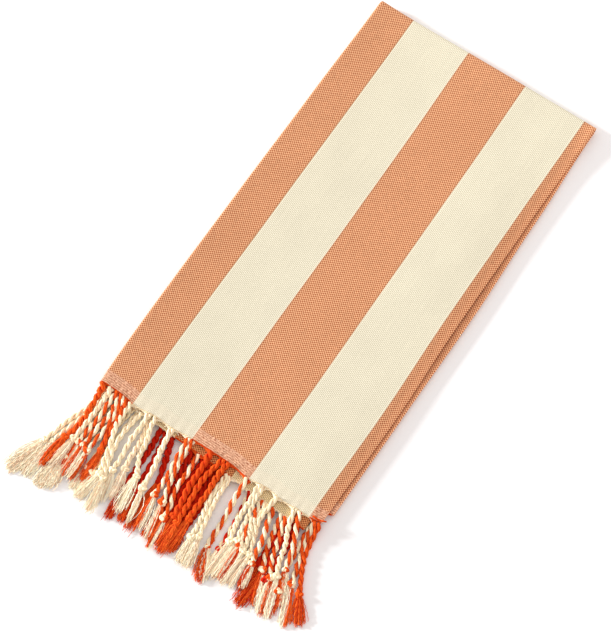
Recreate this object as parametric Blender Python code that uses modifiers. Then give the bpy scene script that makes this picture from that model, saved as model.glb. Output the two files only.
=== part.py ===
"""A small striped hammam towel, folded once lengthwise and once crosswise, with its two fringes.

The cloth is one woven sheet, its hems included. It is folded lengthwise at its left (-X) and then
crosswise at its far end (+Y), so four layers lie on each other and both fringed ends point to -Y.
Each fringe is knotted from the warp threads of one end of the towel: its strands hang on a narrow
heading strip that runs round the lengthwise fold just past the hem.

The origin is the centre of the flat underside. Lengths are in metres.
"""

from math import cos, exp, pi, sin

import bmesh
import bpy
from mathutils import Vector

MM = 0.001

# The folded cloth.
FOLDED_WIDTH = 225 * MM  # lengthwise fold to the free edge of the outer half
INNER_WIDTH = 215 * MM  # lengthwise fold to the free edge of the inner half
FOLDED_LENGTH = 430 * MM  # crosswise fold to the upper hem
THICKNESS = 1.3 * MM
LAYER_SPACING = 1.9 * MM  # between the middles of two layers of one pack
FOLD_SPACING = 2.6 * MM  # the same at the lengthwise fold, which stands a little open
PACK_HEIGHT = 7.0 * MM  # all four layers, pressed flat
FOLD_PUFF = 1.6 * MM  # how much higher the cloth stands along either fold
PUFF_FADE = 28 * MM
SWELL = 0.35 * MM  # half the height of the soft swellings in the upper pack
SWELL_ACROSS = 150 * MM
SWELL_ALONG = 235 * MM
LEFT_EDGE = -FOLDED_WIDTH / 2 + THICKNESS / 2
FAR_EDGE = FOLDED_LENGTH / 2
TURN_Y = FAR_EDGE - (PACK_HEIGHT + FOLD_PUFF) / 2  # where the crosswise fold starts to turn

# Hems, measured along Y. The upper pack's outer hem sags between a few points.
UPPER_HEM = -214 * MM
UPPER_INNER_HEM = -215.5 * MM
UPPER_INNER_SKEW = -11.5 * MM  # how much further the inner hem reaches at its free edge
LOWER_HEM = -203 * MM
LOWER_HEM_WAVE = 0.8 * MM
LOWER_WAVE_LENGTH = 130 * MM
SAG_WIDTH = 12.5 * MM
HEM_SAGS = (  # across, depth
    (-72 * MM, 2.6 * MM),
    (-38 * MM, 1.6 * MM),
    (40 * MM, 2.6 * MM),
    (75 * MM, 3.0 * MM),
    (99 * MM, 2.2 * MM),
)
CORNER_TUCK = 2 * MM  # the fold draws in beside the upper hem
TUCK_FADE = 25 * MM

# How far the packs drift sideways (+X) along their length, from the crosswise fold to the hem.
UPPER_DRIFT = (  # share of the length, then drift of the left edge, the middle and the right edge
    (0.00, 2.4 * MM, -0.6 * MM, 1.7 * MM),
    (0.25, 1.0 * MM, 0.4 * MM, 0.3 * MM),
    (0.50, 0.2 * MM, 0.5 * MM, -0.2 * MM),
    (0.75, -0.2 * MM, 0.2 * MM, 2.0 * MM),
    (1.00, 0.0 * MM, -0.3 * MM, 0.4 * MM),
)
LOWER_DRIFT = (
    (0.00, 2.4 * MM, -0.6 * MM, 1.7 * MM),
    (0.25, 3.0 * MM, 3.0 * MM, 4.3 * MM),
    (0.50, 4.5 * MM, 5.0 * MM, 6.4 * MM),
    (0.75, 3.5 * MM, 4.0 * MM, 5.5 * MM),
    (1.00, 3.0 * MM, 3.5 * MM, 4.6 * MM),
)

# Steps of the sheet's surface.
STRAIGHT_STEPS = 32
FOLD_STEPS = 6
LENGTH_STEPS = 16
TURN_STEPS = 8

# The fringes. Strands leave the hem, sink to their level, are knotted and end in a frayed tip.
CLEARANCE = 0.4 * MM
STRIP_WIDTH = 2 * MM
ROOT_WIDTH = 2.6 * MM
COLUMN_CLEARANCE = 0.5 * MM  # least width of a heading's face beside a strand
CORD_HALF = 1.5 * MM
KNOT_HALF = 1.65 * MM
LOW_LEVEL = CORD_HALF  # strands on the floor
HIGH_LEVEL = LOW_LEVEL + 2 * CORD_HALF + CLEARANCE  # strands on those strands
OVER_HEM_SHARES = (0.10, 0.30)  # shares of the way from hem to knot
AT_LEVEL_SHARES = (0.52, 0.78)
FRAY_SHARE = 0.25  # share of the way from knot to tip
ACROSS_PASSES = 4  # passes that find a strand's place on the folded cloth

UPPER_CORDS = (  # half, level, root x, x halfway, knot x, knot y, tip x, tip y, in millimetres
    ("outer", "high", -107, -102.9, -107, -271, -109.5, -300),
    ("outer", "high", -99, -98.4, -100, -268, -103, -297),
    ("outer", "high", -93, -93.7, -95, -268, -95, -291),
    ("outer", "high", -88.5, -87.8, -90, -268, -89, -297),
    ("outer", "high", -85.2, -83.4, -84.5, -271, -84, -297),
    ("outer", "high", -81.4, -79.4, -75.2, -264.5, -75, -292),
    ("outer", "high", -78, -73.8, -64.5, -281, -69, -306),
    ("inner", "high", -66, -68, -59.5, -283, -55, -311),
    ("outer", "high", -60, -59, -57.5, -273, -52.5, -299),
    ("inner", "high", -56.3, -53, -49.5, -266, -46, -291),
    ("outer", "high", -53, -48.3, -38, -266, -35, -297),
    ("outer", "high", -37, -32, -28, -272, -22.5, -301),
    ("outer", "high", -20.5, -17.7, -16.5, -271, -13, -301),
    ("outer", "high", -16.5, -13.4, -7.2, -273, -1, -304),
    ("inner", "high", -6, -4, 1.5, -283.5, 4, -310),
    ("outer", "high", 1.5, 4, 7, -277, 8, -302),
    ("outer", "high", 13.5, 10, 12.5, -281, 12.5, -308),
    ("outer", "high", 19, 18, 19, -273, 17.5, -304),
    ("inner", "high", 23, 24.9, 29.3, -284, 32, -306),
    ("inner", "high", 27, 28.8, 34.3, -281, 39, -306),
    ("outer", "low", 40.3, 41.2, 44, -282.5, 55, -309),
    ("inner", "low", 47.5, 50.5, 53.5, -279, 55, -296),
    ("outer", "high", 51, 52.3, 57.3, -270, 57, -300),
    ("outer", "high", 55, 56.8, 62.5, -266, 62.5, -300),
    ("inner", "high", 59.5, 62.3, 66.5, -268, 66.5, -298),
    ("inner", "high", 63.8, 66, 71, -270, 71, -301),
    ("outer", "high", 68.5, 69.2, 77, -270, 77.5, -299),
    ("inner", "high", 71.5, 77.3, 83, -275, 85.5, -296),
    ("inner", "high", 80, 84, 93, -274, 103, -302),
    ("inner", "high", 84, 90.8, 101.5, -276.5, 110, -305),
    ("outer", "high", 86.5, 95, 105.5, -273, 116, -304),
    ("outer", "high", 91.5, 100.4, 108.5, -264, 120.5, -291),
    ("outer", "high", 105.8, 111.3, 119, -271, 131.5, -303),
    ("outer", "high", 109.6, 116, 129, -275, 141.5, -296),
)

LOWER_CORDS = (  # the same columns
    ("outer", "low", -101, -109.5, -120.5, -281, -129, -317),
    ("inner", "low", -96, -105.5, -114.5, -279, -117, -314),
    ("outer", "low", -91, -98, -102.5, -286, -102, -316),
    ("inner", "low", -85, -92, -96, -284, -95, -312),
    ("outer", "low", -79, -84.5, -85.5, -280, -86, -296),
    ("inner", "low", -73, -77, -77.5, -282, -78, -303),
    ("outer", "low", -68, -71.5, -71, -283, -70.5, -306),
    ("inner", "low", -47.5, -43.7, -42, -273, -38, -307),
    ("outer", "low", -43.5, -36, -31.5, -277, -27.5, -303),
    ("inner", "low", -37, -30, -20.5, -259, -19.5, -305),
    ("outer", "low", -12.5, -10, -6, -281, -5, -303),
    ("inner", "low", -8, -5.7, -1, -282, 0.5, -302),
    ("outer", "low", -2, 0.3, 5, -284, 5.5, -303),
    ("outer", "low", 15, 14.2, 13.5, -285, 13, -303),
    ("inner", "low", 21.4, 20.5, 20, -284, 20, -302),
    ("outer", "low", 57.5, 61.5, 64, -276, 64, -299),
    ("inner", "low", 63, 65.8, 69, -279, 68.5, -298),
    ("outer", "low", 81, 85.5, 87, -272, 86.5, -297),
    ("inner", "low", 85.5, 91.5, 93.5, -277, 91, -308),
    ("outer", "low", 92, 97, 99, -280, 99, -299),
    ("outer", "low", 109, 113.5, 121, -282, 124, -302),
)


def clear_scene():
    for item in list(bpy.data.objects):
        bpy.data.objects.remove(item, do_unlink=True)


def material(name, colour, roughness):
    made = bpy.data.materials.new(name)
    made.use_nodes = True
    shader = made.node_tree.nodes["Principled BSDF"]
    shader.inputs["Base Color"].default_value = (*colour, 1)
    shader.inputs["Roughness"].default_value = roughness
    shader.inputs["Metallic"].default_value = 0
    return made


def add_object(name, mesh, look, collection):
    made = bpy.data.objects.new(name, mesh)
    mesh.materials.append(look)
    collection.objects.link(made)
    return made


def layer_spacing(from_fold):
    """Distance between the two layers of a pack, wider beside the lengthwise fold."""
    return LAYER_SPACING + (FOLD_SPACING - LAYER_SPACING) * exp(-from_fold / PUFF_FADE)


def fold_lengthwise(across):
    """(distance from the left edge, depth below the outer face) of a point on the flat cloth.

    across is measured from the fold line: negative on the outer half, positive on the inner.
    """
    radius = FOLD_SPACING / 2
    quarter = pi * radius / 2
    if abs(across) < quarter:
        angle = across / radius
        return radius * (1 - cos(angle)), THICKNESS / 2 + radius * (1 + sin(angle))
    reach = radius + abs(across) - quarter
    depth = THICKNESS / 2
    if across > 0:
        depth += layer_spacing(reach - radius)
    return reach, depth


def total_height(reach, y):
    """Height of the four layers: they puff up along both folds and swell softly between."""
    lengthwise = FOLD_PUFF * exp(-reach / PUFF_FADE)
    crosswise = FOLD_PUFF * exp(-max(TURN_Y - y, 0) / PUFF_FADE)
    swell = SWELL * (1 + sin(2 * pi * reach / SWELL_ACROSS) * sin(2 * pi * y / SWELL_ALONG))
    return PACK_HEIGHT + lengthwise + crosswise + swell


def hem_y(upper, across, reach):
    """Where a point's column of the cloth ends."""
    if not upper:
        return LOWER_HEM + LOWER_HEM_WAVE * sin(2 * pi * reach / LOWER_WAVE_LENGTH)
    x = LEFT_EDGE + reach
    outer = UPPER_HEM - sum(
        depth * exp(-(((x - centre) / SAG_WIDTH) ** 2)) for centre, depth in HEM_SAGS
    )
    inner = UPPER_INNER_HEM + UPPER_INNER_SKEW * reach / INNER_WIDTH
    turned = min(max(across / FOLD_SPACING + 0.5, 0), 1)
    return outer + (inner - outer) * turned


def quadratic(share, first, middle, last):
    """A smooth run through three values, at shares 0, 0.5 and 1."""
    start = first * (1 - share) * (1 - 2 * share)
    end = last * share * (2 * share - 1)
    return start + middle * 4 * share * (1 - share) + end


def drift(table, share, reach):
    """How far a point of a pack is moved sideways."""
    step = 1 / (len(table) - 1)
    row = min(int(share / step), len(table) - 2)
    blend = (1 - cos(pi * (share / step - row))) / 2
    ends = [quadratic(reach / FOLDED_WIDTH, *values) for _, *values in table[row : row + 2]]
    return ends[0] + (ends[1] - ends[0]) * blend


def folded(across, along, beyond=0.0):
    """Place in space of a point of the cloth's middle surface.

    along runs from -2 at the lower hem through 0 at the crosswise fold to 2 at the upper hem, and
    the fold's half turn takes -1 to 1. beyond is a distance past the hem.
    """
    reach, depth = fold_lengthwise(across)
    upper = along > 0
    share = max(abs(along) - 1, 0)
    x = LEFT_EDGE + reach + drift(UPPER_DRIFT if upper else LOWER_DRIFT, share, reach)
    if share == 0:
        height = total_height(reach, TURN_Y)
        radius = height / 2 - depth
        angle = pi / 2 * along
        return Vector((x, TURN_Y + radius * cos(angle), height / 2 + radius * sin(angle)))
    end = hem_y(upper, across, reach)
    y = TURN_Y + share * (end - TURN_Y)
    if upper:
        tuck = CORNER_TUCK * exp(-(y - end) / TUCK_FADE) * exp(-reach / TUCK_FADE)
        return Vector((x + tuck, y - beyond, total_height(reach, y) - depth))
    return Vector((x, y - beyond, depth))


def spaced(first, last, steps):
    return [first + (last - first) * i / steps for i in range(steps + 1)]


def sheet(name, columns, rows, look, collection):
    """A sheet of cloth: a flat grid whose points are folded into place, then made thick."""
    bm = bmesh.new()
    bmesh.ops.create_grid(bm, x_segments=len(columns) - 1, y_segments=len(rows) - 1, size=1)
    for vert in bm.verts:
        column = columns[round((vert.co.x + 1) / 2 * (len(columns) - 1))]
        along, beyond = rows[round((vert.co.y + 1) / 2 * (len(rows) - 1))]
        vert.co = folded(column, along, beyond)
    mesh = bpy.data.meshes.new(name)
    bm.to_mesh(mesh)
    bm.free()
    made = add_object(name, mesh, look, collection)
    thick = made.modifiers.new("thickness", "SOLIDIFY")
    thick.thickness = THICKNESS
    thick.offset = 0
    thick.use_even_offset = True
    return made


def cloth_columns():
    """Places across the flat cloth, from the outer half's free edge to the inner half's."""
    quarter = pi * FOLD_SPACING / 4
    return (
        spaced(-(FOLDED_WIDTH - THICKNESS), -quarter, STRAIGHT_STEPS)
        + spaced(-quarter, quarter, FOLD_STEPS)[1:-1]
        + spaced(quarter, INNER_WIDTH, STRAIGHT_STEPS)
    )


def strip_columns(roots):
    """The cloth's columns and two more for each strand, less those that come too close to a strand."""
    columns = [root + side * ROOT_WIDTH / 2 for root in roots for side in (-1, 1)]
    for column in cloth_columns():
        if min(abs(column - root) for root in roots) > ROOT_WIDTH / 2 + COLUMN_CLEARANCE:
            columns.append(column)
    return sorted(columns)


def cloth(look, collection):
    lower = spaced(-2, -1, LENGTH_STEPS)
    upper = spaced(1, 2, LENGTH_STEPS)
    rows = [(along, 0.0) for along in lower + spaced(-1, 1, TURN_STEPS)[1:-1] + upper]
    return sheet("towel_cloth", cloth_columns(), rows, look, collection)


def baked(made):
    """The object's mesh with its modifiers applied."""
    graph = bpy.context.evaluated_depsgraph_get()
    mesh = bpy.data.meshes.new_from_object(made.evaluated_get(graph))
    made.modifiers.clear()
    old = made.data
    made.data = mesh
    bpy.data.meshes.remove(old)
    return mesh


def draw_out(bm, face, stations):
    """A strand: the face is extruded from one station to the next.

    A station is (centre, half width, half height), and the sections stay upright.
    """
    middle = face.calc_center_median()
    side = Vector((-face.normal.y, face.normal.x, 0))
    corners = [((v.co - middle).dot(side) > 0, v.co.z > middle.z) for v in face.verts]
    centres = [station[0] for station in stations]
    nexts = centres[1:] + [2 * centres[-1] - centres[-2]]
    for (centre, half_width, half_height), after in zip(stations, nexts):
        face = bmesh.ops.extrude_discrete_faces(bm, faces=[face])["faces"][0]
        run = after - middle
        side = Vector((-run.y, run.x, 0)).normalized()
        for vert, (left, top) in zip(face.verts, corners):
            across = side * (half_width if left else -half_width)
            rise = Vector((0, 0, half_height if top else -half_height))
            vert.co = centre + across + rise
        middle = centre


def height_over_inner_hem(x):
    """Height of a strand's middle where it crosses the upper pack's inner hem."""
    inner = folded(across_at("inner", x, 2), 2)
    return inner.z + THICKNESS / 2 + CLEARANCE + CORD_HALF


def strand_stations(root, level, crosses_hem, halfway, knot, tip):
    """Centres and half sizes from the heading strip to the frayed tip.

    A strand of the outer hem first runs over the inner hem, then all of them sink to their level.
    """
    run = knot.y - root.y

    def at(share, z):
        return Vector((quadratic(share, root.x, halfway, knot.x), root.y + run * share, z))

    first = height_over_inner_hem(root.x) if crosses_hem else (root.z + level) / 2
    second = first if crosses_hem else level
    lift = Vector((0, 0, level))
    return [
        (at(OVER_HEM_SHARES[0], first), CORD_HALF, min(CORD_HALF, first)),
        (at(OVER_HEM_SHARES[1], second), CORD_HALF, CORD_HALF),
        (at(AT_LEVEL_SHARES[0], level), CORD_HALF, CORD_HALF),
        (at(AT_LEVEL_SHARES[1], level), CORD_HALF, CORD_HALF),
        (knot + lift, KNOT_HALF, CORD_HALF),
        (knot.lerp(tip, FRAY_SHARE) + lift, CORD_HALF, CORD_HALF),
        (tip + lift, KNOT_HALF, CORD_HALF),
    ]


def across_at(half, x, along):
    """The place across the flat cloth whose folded point lies at x at the hem."""
    sign = -1 if half == "outer" else 1
    across = sign * (x - LEFT_EDGE)
    for _ in range(ACROSS_PASSES):
        across += sign * (x - folded(across, along).x)
    return across


def fringe(name, along, cords, look, collection):
    """A heading strip past one hem, with its strands drawn out of the strip's edge."""
    roots = [across_at(half, root * MM, along) for half, _, root, *_ in cords]
    rows = [(along, CLEARANCE), (along, CLEARANCE + STRIP_WIDTH)]
    made = sheet(name, strip_columns(roots), rows, look, collection)
    bm = bmesh.new()
    bm.from_mesh(baked(made))
    bm.normal_update()
    starts = [folded(root, along, CLEARANCE + STRIP_WIDTH) for root in roots]
    faces = [
        min(bm.faces, key=lambda face: (face.calc_center_median() - start).length) for start in starts
    ]
    for cord, start, face in zip(cords, starts, faces):
        half, level, _, halfway, knot_x, knot_y, tip_x, tip_y = cord
        knot = Vector((knot_x * MM, knot_y * MM, 0))
        tip = Vector((tip_x * MM, tip_y * MM, 0))
        height = LOW_LEVEL if level == "low" else HIGH_LEVEL
        crosses_hem = half == "outer" and along > 0
        stations = strand_stations(start, height, crosses_hem, halfway * MM, knot, tip)
        draw_out(bm, face, stations)
    bm.to_mesh(made.data)
    bm.free()


def main():
    clear_scene()
    collection = bpy.data.collections.new("hammam_towel")
    bpy.context.scene.collection.children.link(collection)
    striped = material("striped_cotton", (0.80, 0.58, 0.42), 0.9)
    yarn = material("fringe_yarn", (0.85, 0.45, 0.25), 0.9)
    cloth(striped, collection)
    fringe("fringe_upper", 2, UPPER_CORDS, yarn, collection)
    fringe("fringe_lower", -2, LOWER_CORDS, yarn, collection)


main()
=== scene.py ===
"""The look of a small striped hammam towel, folded lengthwise and crosswise, with knotted fringes.

The cloth is a thin sheet on the folds of its CAD solid, woven in orange and cream stripes. Each
fringe has, from the hem outwards, a heading of warp threads that gather into cords, the cords of
two twisted plies, a knot in each, and a frayed tassel.

Lengths are in metres, in the CAD model's frame: +Z is up, +Y runs along the folded length towards
the crosswise fold, and +X runs across, away from the lengthwise fold.
"""

from math import cos, pi, radians, sin

import bpy
import numpy as np
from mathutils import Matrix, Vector


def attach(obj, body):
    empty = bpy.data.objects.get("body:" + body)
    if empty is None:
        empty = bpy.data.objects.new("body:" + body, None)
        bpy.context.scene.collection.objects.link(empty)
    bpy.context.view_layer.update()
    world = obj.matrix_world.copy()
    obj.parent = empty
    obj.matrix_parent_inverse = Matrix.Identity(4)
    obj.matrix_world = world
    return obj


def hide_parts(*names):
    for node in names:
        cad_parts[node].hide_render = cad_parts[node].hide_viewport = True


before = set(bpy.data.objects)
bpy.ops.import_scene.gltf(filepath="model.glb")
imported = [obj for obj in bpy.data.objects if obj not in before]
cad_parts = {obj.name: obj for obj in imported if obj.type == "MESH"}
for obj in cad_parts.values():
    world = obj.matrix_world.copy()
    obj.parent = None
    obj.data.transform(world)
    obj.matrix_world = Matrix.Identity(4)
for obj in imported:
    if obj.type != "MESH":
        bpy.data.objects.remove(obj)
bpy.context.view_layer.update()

MM = 0.001
RNG = np.random.default_rng(20)
UP = (0.0, 0.0, 1.0)
TINY = 1e-12  # keeps a division from failing

# The folded cloth, as in the CAD model.
FOLDED_WIDTH = 225 * MM  # lengthwise fold to the free edge of the outer half
INNER_WIDTH = 215 * MM  # lengthwise fold to the free edge of the inner half
FOLDED_LENGTH = 430 * MM  # crosswise fold to the upper hem
CAD_THICKNESS = 1.3 * MM
CLOTH_THICKNESS = 1.1 * MM
LAYER_SPACING = 1.9 * MM  # between the middles of two layers of one pack
FOLD_SPACING = 2.6 * MM  # the same at the lengthwise fold
PACK_HEIGHT = 7.0 * MM  # all four layers, pressed flat
FOLD_PUFF = 1.6 * MM  # how much higher the cloth stands along either fold
PUFF_FADE = 28 * MM
SWELL = 0.35 * MM  # half the height of the soft swellings
SWELL_ACROSS = 150 * MM
SWELL_ALONG = 235 * MM
LEFT_EDGE = -FOLDED_WIDTH / 2 + CAD_THICKNESS / 2
TURN_Y = FOLDED_LENGTH / 2 - (PACK_HEIGHT + FOLD_PUFF) / 2  # where the crosswise fold begins
UPPER_HEM = -214 * MM
UPPER_INNER_HEM = -215.5 * MM
UPPER_INNER_SKEW = -11.5 * MM  # how much further the inner hem reaches at its free edge
LOWER_HEM = -203 * MM
LOWER_HEM_WAVE = 0.8 * MM
LOWER_WAVE_LENGTH = 130 * MM
SAG_WIDTH = 12.5 * MM
HEM_SAGS = (  # across, depth
    (-72 * MM, 2.6 * MM),
    (-38 * MM, 1.6 * MM),
    (40 * MM, 2.6 * MM),
    (75 * MM, 3.0 * MM),
    (99 * MM, 2.2 * MM),
)
CORNER_TUCK = 2 * MM  # the fold draws in beside the upper hem
TUCK_FADE = 25 * MM

# At the open side, away from the lengthwise fold, the layers lie closer and the outer ones meet.
PRESSED_FROM = 185 * MM
PRESSED_SPACING = 1.72 * MM
LIP_FROM = 212 * MM
UPPER_LIP = -1.4 * MM
LOWER_LIP = 3.1 * MM
LIP_BEGINS = 0.12  # share of the length, from the crosswise fold, over which the lips begin
PUCKER = 0.14 * MM  # small waves of the hem between its cords
PUCKER_LENGTH = 9 * MM
PUCKER_UNEVEN = 17 * MM
PUCKER_FADE = 9 * MM

# How far the packs drift sideways (+X) along their length, from the crosswise fold to the hem.
UPPER_DRIFT = (  # even share of the length, drift of the left edge, the middle, the right edge
    (0.00, 2.4 * MM, -0.6 * MM, 1.7 * MM),
    (0.25, 1.0 * MM, 0.4 * MM, 0.3 * MM),
    (0.50, 0.2 * MM, 0.5 * MM, -0.2 * MM),
    (0.75, -0.2 * MM, 0.2 * MM, 2.0 * MM),
    (1.00, 0.0 * MM, -0.3 * MM, 0.4 * MM),
)
LOWER_DRIFT = (  # the same columns
    (0.00, 2.4 * MM, -0.6 * MM, 1.7 * MM),
    (0.25, 3.0 * MM, 3.0 * MM, 4.3 * MM),
    (0.50, 4.5 * MM, 5.0 * MM, 6.4 * MM),
    (0.75, 3.5 * MM, 4.0 * MM, 5.5 * MM),
    (1.00, 3.0 * MM, 3.5 * MM, 4.6 * MM),
)

# Steps of the fine sheet.
ACROSS_STEPS = 130
FOLD_STEPS = 10
ALONG_STEPS = 60
HEM_CROWDING = 1.8  # the rows lie closer towards the hems
TURN_STEPS = 20

# The weave.
STRIPE = 58.8 * MM
FIRST_STRIPE = -36.0 * MM
WARP_PITCH = 1.31 * MM  # between two warp threads, across the towel
WEFT_PITCH = 1.134 * MM  # between two weft threads, along it
RIB_PITCH = 0.95 * MM  # of the header band
HEADER = 11 * MM  # width of that band
HEADER_EDGE = 0.4 * MM
HEM_SHADE_FADE = (40 * MM, 12 * MM)  # from the hem, where the painted shade on the inner half begins and is full
BORDER_LINE = (1.5 * MM, 1.1 * MM)  # from a stripe's border: where the thread beside it begins and is full, painted paler as a highlight on the cream side and darker on the orange side
EDGE_LIGHT = (-216 * MM, -220 * MM)  # across the flat cloth, where painted light on the open edge begins and is full
EDGE_HIGHLIGHT = (-222.5 * MM, -223.1 * MM)  # the same for a painted highlight along its very edge

# Cords.
PLY_RADIUS = 1.42 * MM
PLY_OFFSET = 1.12 * MM  # from the cord's middle to a ply's
FLATNESS = 0.62  # height of the twist over its width
CORD_RADIUS = PLY_RADIUS + FLATNESS * PLY_OFFSET
CORD_POINTS = 72
TWIST = 14.5 * MM  # length of a whole turn
SWAY = 1.3 * MM
OVER_HEM_SHARES = (0, 0.07, 0.28, 0.58, 1)  # of the way to the knot: over the inner hem, then down
FREE_SHARES = (0, 0.3, 1)  # the same where there is no inner hem to cross
LEVEL_ROUNDING = 9  # points over which a route's bends are rounded
ROOT_OPENING = 0.6  # how much further apart the plies stand at the hem, as a share
ROOT_FADE = 3 * MM
FULLNESS = {"OO": 1.12, "DD": 1.2, "RR": 1.24}  # how much thicker the cords of one orange are
LEVELS = {"low": CORD_RADIUS, "middle": 4.0 * MM, "high": 5.6 * MM}
FREE_SIDE = 101 * MM  # beyond this x no inner half lies under a cord of the outer half
ACROSS_PASSES = 4

# half, level, plies, root x, x halfway, knot x, knot y, tip x, tip y, tassel width; in millimetres.
# Plies are orange (O), deep orange (D), red (R), cream (C) or a pale blend (P); D and R are orange
# yarn with painted shade, some and deep, for cords that lie in shade.
UPPER_CORDS = (
    ("outer", "high", "OO", -107, -102.9, -107, -271, -109.5, -300, 8),
    ("outer", "high", "PP", -99, -98.4, -100, -268, -103, -297, 8),
    ("outer", "high", "OC", -93, -93.7, -95, -268, -95, -291, 7),
    ("outer", "high", "OC", -88.5, -87.8, -90, -268, -89, -297, 7),
    ("outer", "high", "CO", -85.2, -83.4, -84.5, -271, -84, -297, 6),
    ("outer", "high", "OO", -81.4, -79.4, -75.2, -264.5, -75, -292, 8),
    ("outer", "high", "CC", -78, -73.8, -64.5, -281, -69, -306, 10),
    ("inner", "high", "CC", -66, -68, -59.5, -283, -55, -311, 10),
    ("outer", "high", "CC", -60, -59, -57.5, -273, -52.5, -299, 9),
    ("inner", "high", "PP", -56.3, -53, -49.5, -266, -46, -291, 7),
    ("outer", "high", "CC", -53, -48.3, -38, -266, -35, -297, 9),
    ("outer", "high", "CC", -37, -32, -28, -272, -22.5, -301, 4.5),
    ("outer", "high", "OC", -20.5, -17.7, -16.5, -271, -13, -301, 10),
    ("outer", "high", "CO", -16.5, -13.4, -7.2, -273, -1, -304, 7),
    ("inner", "high", "OC", -6, -4, 1.5, -283.5, 4, -310, 5),
    ("outer", "high", "DD", 1.5, 4, 7, -277, 8, -302, 9),
    ("outer", "high", "OO", 13.5, 10, 12.5, -281, 12.5, -308, 9),
    ("outer", "high", "OO", 19, 18, 19, -273, 17.5, -304, 10),
    ("inner", "high", "CC", 23, 24.9, 29.3, -284, 32, -306, 9),
    ("inner", "high", "CC", 27, 28.8, 34.3, -281, 39, -306, 10),
    ("outer", "low", "OC", 40.3, 41.2, 44, -282.5, 55, -309, 14),
    ("inner", "low", "CR", 47.5, 50.5, 53.5, -279, 55, -296, 10),
    ("outer", "high", "CC", 51, 52.3, 57.3, -270, 57, -300, 8),
    ("outer", "high", "CC", 55, 56.8, 62.5, -266, 62.5, -300, 8),
    ("inner", "high", "CO", 59.5, 62.3, 66.5, -268, 66.5, -298, 7),
    ("inner", "high", "CC", 63.8, 66, 71, -270, 71, -301, 7),
    ("outer", "high", "CC", 68.5, 69.2, 77, -270, 77.5, -299, 7),
    ("inner", "high", "OC", 71.5, 77.3, 83, -275, 85.5, -296, 7),
    ("inner", "middle", "OC", 80, 84, 93, -274, 103, -302, 10),
    ("inner", "middle", "CO", 84, 90.8, 101.5, -276.5, 110, -305, 9),
    ("outer", "middle", "CC", 86.5, 95, 105.5, -273, 116, -304, 9),
    ("outer", "middle", "OC", 91.5, 100.4, 108.5, -264, 120.5, -291, 13),
    ("outer", "low", "CO", 105.8, 111.3, 119, -271, 131.5, -303, 9),
    ("outer", "low", "OO", 109.6, 116, 129, -275, 141.5, -296, 11),
)

LOWER_CORDS = (  # the same columns
    ("outer", "low", "CC", -101, -109.5, -120.5, -281, -131, -318, 15),
    ("inner", "low", "CC", -96, -105.5, -114.5, -279, -117, -314, 14),
    ("outer", "low", "CC", -91, -98, -102.5, -286, -102, -316, 14),
    ("inner", "low", "CC", -85, -92, -96, -284, -95, -312, 12),
    ("outer", "low", "CC", -79, -84.5, -85.5, -280, -86, -296, 9),
    ("inner", "low", "CC", -73, -77, -77.5, -282, -78, -303, 9),
    ("outer", "low", "CC", -68, -71.5, -71, -283, -70.5, -306, 9),
    ("inner", "low", "RR", -47.5, -43.7, -42, -273, -38, -307, 8),
    ("outer", "low", "RR", -43.5, -36, -31.5, -277, -27.5, -303, 9),
    ("inner", "low", "RR", -37, -30, -20.5, -259, -19.5, -305, 9),
    ("outer", "low", "RR", -12.5, -10, -6, -281, -5, -303, 8),
    ("inner", "low", "RR", -8, -5.7, -1, -282, 0.5, -302, 8),
    ("outer", "low", "RR", -2, 0.3, 5, -284, 5.5, -303, 8),
    ("inner", "low", "RR", 5, 7.2, 9.8, -283, 10.5, -303, 7),
    ("outer", "low", "RR", 11, 12.4, 13.2, -284, 13, -304, 7),
    ("outer", "low", "RR", 16, 15.6, 16, -285, 15.5, -303, 8),
    ("inner", "low", "RR", 21.4, 20.5, 20, -284, 20, -302, 8),
    ("outer", "low", "RR", 57.5, 61.5, 64, -276, 64, -299, 8),
    ("inner", "low", "OC", 63, 65.8, 69, -279, 68.5, -298, 8),
    ("outer", "low", "RR", 81, 85.5, 87, -272, 86.5, -297, 8),
    ("inner", "low", "RR", 85.5, 91.5, 93.5, -277, 91, -308, 13),
    ("outer", "low", "RR", 92, 97, 99, -280, 99, -299, 8),
    ("outer", "low", "CO", 105, 105.5, 113, -282, 118, -302, 9),
)

# Threads on a ply.
STRANDS = 5
STRAND_RADIUS = 0.3 * MM
STRAND_TWIST = 11 * MM
STRAND_DEPTH = 0.9  # share of the ply's radius at which they lie
STRAND_SLACK = 2.6 * MM  # the most that a loose one stands off

# Knots and tassels.
ROOT_BEYOND = 1.2 * MM  # from the hem to the first point of a cord
KNOT_LIFT = 0.3 * MM
KNOT_SHAPE = (0.76, 0.54, 0.8)  # size of a knot's loops, in mm, across the cord, along it and up
KNOT_YARN = 1.7  # radius of its yarn, in mm
SMALL_KNOT = 0.8  # how large the knot of a wide tassel is, where another's is 1
TIP_DROP = 2.8 * MM  # how much lower than its knot a tassel ends
TIP_LEAST = 1.3 * MM
WIDE_TASSEL = 11.5 * MM
TASSEL_POINTS = 13
LEAST_THREADS = 36  # in a tassel
THREADS_PER_WIDTH = 4.2 / MM
THREAD_RADIUS = 0.35 * MM
THREAD_TAPER = 0.35
DARK_THREADS = 0.38  # share of a tassel's threads that lie in the shade of others
STRAY_THREADS = 0.04  # share of them that stray to the side
STRAY_REACH = 2.4 * MM
BUNDLE_WIDTH = 1.7 * MM  # half the width of the threads where they leave the knot
BUNDLE_HEIGHT = 1.1 * MM
FAN = 0.48  # spread of the threads over a tassel's half width
FAN_LIMIT = 1.1
FAN_OPENING = 1.7  # how soon the tassel opens
THREAD_BEND = 0.8 * MM
WIDE_CRIMP = 1.8  # how much more crimped the threads of a wide tassel are

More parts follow.
